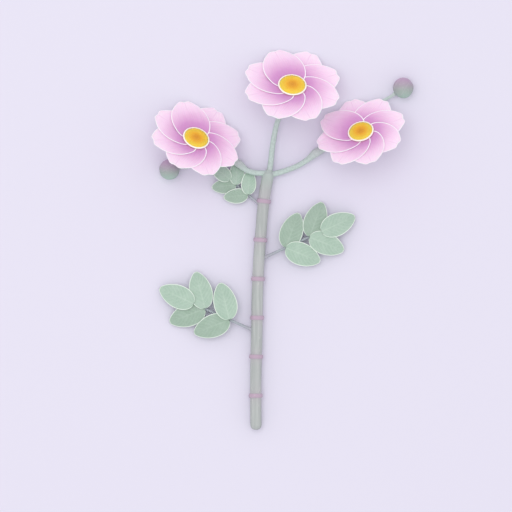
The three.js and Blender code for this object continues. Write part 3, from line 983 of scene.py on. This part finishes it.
def makeLeafletMaterial(name, body, blotch, veinTone, edgeTone):
    material, tree, shader = newMaterial(name, 0.58)
    edge, vein, across = mark(tree, "edge"), mark(tree, "vein"), mark(tree, "across")
    along = mark(tree, "along")
    colour = blendTones(tree, fade(tree, cloudy(tree, 90, 3), 0.38, 0.68), body, blotch)
    # the net of small veins between the side veins
    cells = addNode(tree, "ShaderNodeTexVoronoi", feature="DISTANCE_TO_EDGE")
    cells.inputs["Scale"].default_value = 480
    tree.links.new(addNode(tree, "ShaderNodeTexCoord").outputs["Object"], cells.inputs["Vector"])
    net = fade(tree, cells.outputs["Distance"], 0.02, 0.12, 1.0, 0.0)
    colour = blendTones(tree, calc(tree, "MULTIPLY", net, 0.22), colour, veinTone)
    colour = blendTones(tree, calc(tree, "MULTIPLY", vein, 0.5), colour, veinTone)
    colour = blendTones(tree, fade(tree, along, 0.7, 1.0, 0.0, 0.15), colour, body)
    colour = blendTones(tree, fade(tree, edge, 0.5, 1.3, 0.9, 0.0), colour, edgeTone)
    feed(tree, shader.inputs["Base Color"], colour)
    relief = calc(tree, "ADD", calc(tree, "MULTIPLY", net, -0.5), cloudy(tree, 700, 2))
    roughen(tree, shader, relief, 0.3, 0.0003)
    shader.inputs["Specular IOR Level"].default_value = 0.35
    shader.inputs["Subsurface Weight"].default_value = 0.06
    shader.inputs["Subsurface Radius"].default_value = (0.002, 0.003, 0.002)
    shader.inputs["Subsurface Scale"].default_value = 0.3
    return material


# two copies of one leaflet material: the second is painted darker as shade for the leaflets that lie lower,
# at the back; the first is the lit copy
litLeafletCopy = makeLeafletMaterial("leafletPaintedLit",
    tone(163, 189, 172), tone(171, 195, 179), tone(200, 219, 204), tone(238, 250, 238))
shadedLeafletCopy = makeLeafletMaterial("leafletPaintedShade",
    tone(152, 176, 159), tone(159, 182, 166), tone(186, 206, 191), tone(234, 246, 235))


def leafStalkShell(leaf):
    heading = math.radians(leaf["heading"])
    end = leaf["reach"][2] - 2
    stops = []
    for i in range(13):
        distance = between(5.0, end, i / 12)
        stops.append((leaf["start"][0] + distance * math.cos(heading),
                      leaf["start"][1] + distance * math.sin(heading),
                      leafStalkHeight(leaf, distance)))
    line, length = smoothLine(stops, 130)
    radius = leafletShape["stalkRadius"]

    def radiusAt(distance, turn):
        share = distance / length
        r = radius * between(1.4, 1.0, share)
        r += 0.5 * math.exp(-((distance - 2.5) / 3.0) ** 2)           # the swollen foot on the cane
        for place in leaf["reach"][:2]:
            r += 0.3 * math.exp(-((distance + 5.0 - place) / 1.6) ** 2)   # small joints under the leaflets
        return r - 0.35 * math.exp(-(min(turn, 2 * math.pi - turn) / 0.4) ** 2)  # the groove along the top

    marksAt = lambda distance, turn: {"flush": 0.7 * math.exp(-(distance / 14) ** 2)}
    return rodShell(line, length, radiusAt, 28, marksAt)


for leafIndex, leaf in enumerate(leaves):
    points, faces, marks = leafStalkShell(leaf)
    stem = buildMesh(leaf["name"] + "_midstem", toFrame(points), faces, marks)
    finishPiece(stem, leafStalkMaterial, "leaf_stalk", leaf["name"] + "_stalk")
    first, second, end = leaf["reach"]
    places = [(first, leaf["upper"]), (second, leaf["upper"]), (end, 0),
        (second, leaf["lower"]), (first, leaf["lower"])]
    for i, (reach, turn) in enumerate(places):
        node = f"{leaf['name']}_leaflet_{i + 1}"
        # painted shade: leaflets at the back take the darker copy of the leaflet material, the others the lit
        # copy
        light = i == 2 or (i < 2) == leaf["upperLight"]
        points, faces, marks = leafletShell(leaf, reach, turn, leaf["order"][i], 40 + leafIndex * 5 + i)
        blade = buildMesh(node + "_blade", toFrame(points), faces, marks)
        if light:
            finishPiece(blade, litLeafletCopy, "light_leaflet", node)
        else:
            finishPiece(blade, shadedLeafletCopy, "dark_leaflet", node)
print("leaves made")


# table, light and camera
stageSettings = {
    "floorSize": 12.0,
    "floorTone": tone(224, 221, 236),
    "airTone": tone(252, 251, 253),
    "airStrength": 0.88,
    "lampPower": 38.0,
    "lampSize": 3.0,
    "lampPlace": (-0.45, 0.4, 3.6),
    "lens": 300,
    "viewWidth": 0.6656,
    "viewCentre": (-0.0349, -0.0218),
}


def makeFloor():
    half = stageSettings["floorSize"] / 2
    corners = ((-half, -half), (half, -half), (half, half), (-half, half))
    points = [Vector((x, y, -0.0002)) for x, y in corners]
    floor = buildMesh("table_top", points, [(0, 1, 2, 3)], None, False)
    material, tree, shader = newMaterial("tablePaper", 0.9)
    shader.inputs["Base Color"].default_value = stageSettings["floorTone"]
    shader.inputs["Specular IOR Level"].default_value = 0.1
    floor.data.materials.append(material)


def makeLights():
    world = bpy.data.worlds.new("studioAir")
    world.use_nodes = True
    air = world.node_tree.nodes["Background"]
    air.inputs["Color"].default_value = stageSettings["airTone"]
    air.inputs["Strength"].default_value = stageSettings["airStrength"]
    bpy.context.scene.world = world
    lamp = bpy.data.lights.new("softLamp", "AREA")
    lamp.shape = "DISK"
    lamp.size = stageSettings["lampSize"]
    lamp.energy = stageSettings["lampPower"]
    lamp.color = (1.0, 0.985, 0.97)
    holder = bpy.data.objects.new("softLamp", lamp)
    holder.location = stageSettings["lampPlace"]
    holder.rotation_euler = (-holder.location).to_track_quat("-Z", "Y").to_euler()
    bpy.context.scene.collection.objects.link(holder)


def makeCamera():
    camera = bpy.data.cameras.new("camera")
    camera.lens = stageSettings["lens"]
    camera.sensor_width = 36
    holder = bpy.data.objects.new("camera", camera)
    distance = stageSettings["viewWidth"] * camera.lens / camera.sensor_width
    holder.location = (*stageSettings["viewCentre"], distance + 0.02)
    camera.clip_end = 100
    bpy.context.scene.collection.objects.link(holder)
    bpy.context.scene.camera = holder


makeFloor()
makeLights()
makeCamera()
bpy.context.scene.view_settings.view_transform = "Standard"
bpy.context.scene.view_settings.look = "None"
print("table, light and camera set")
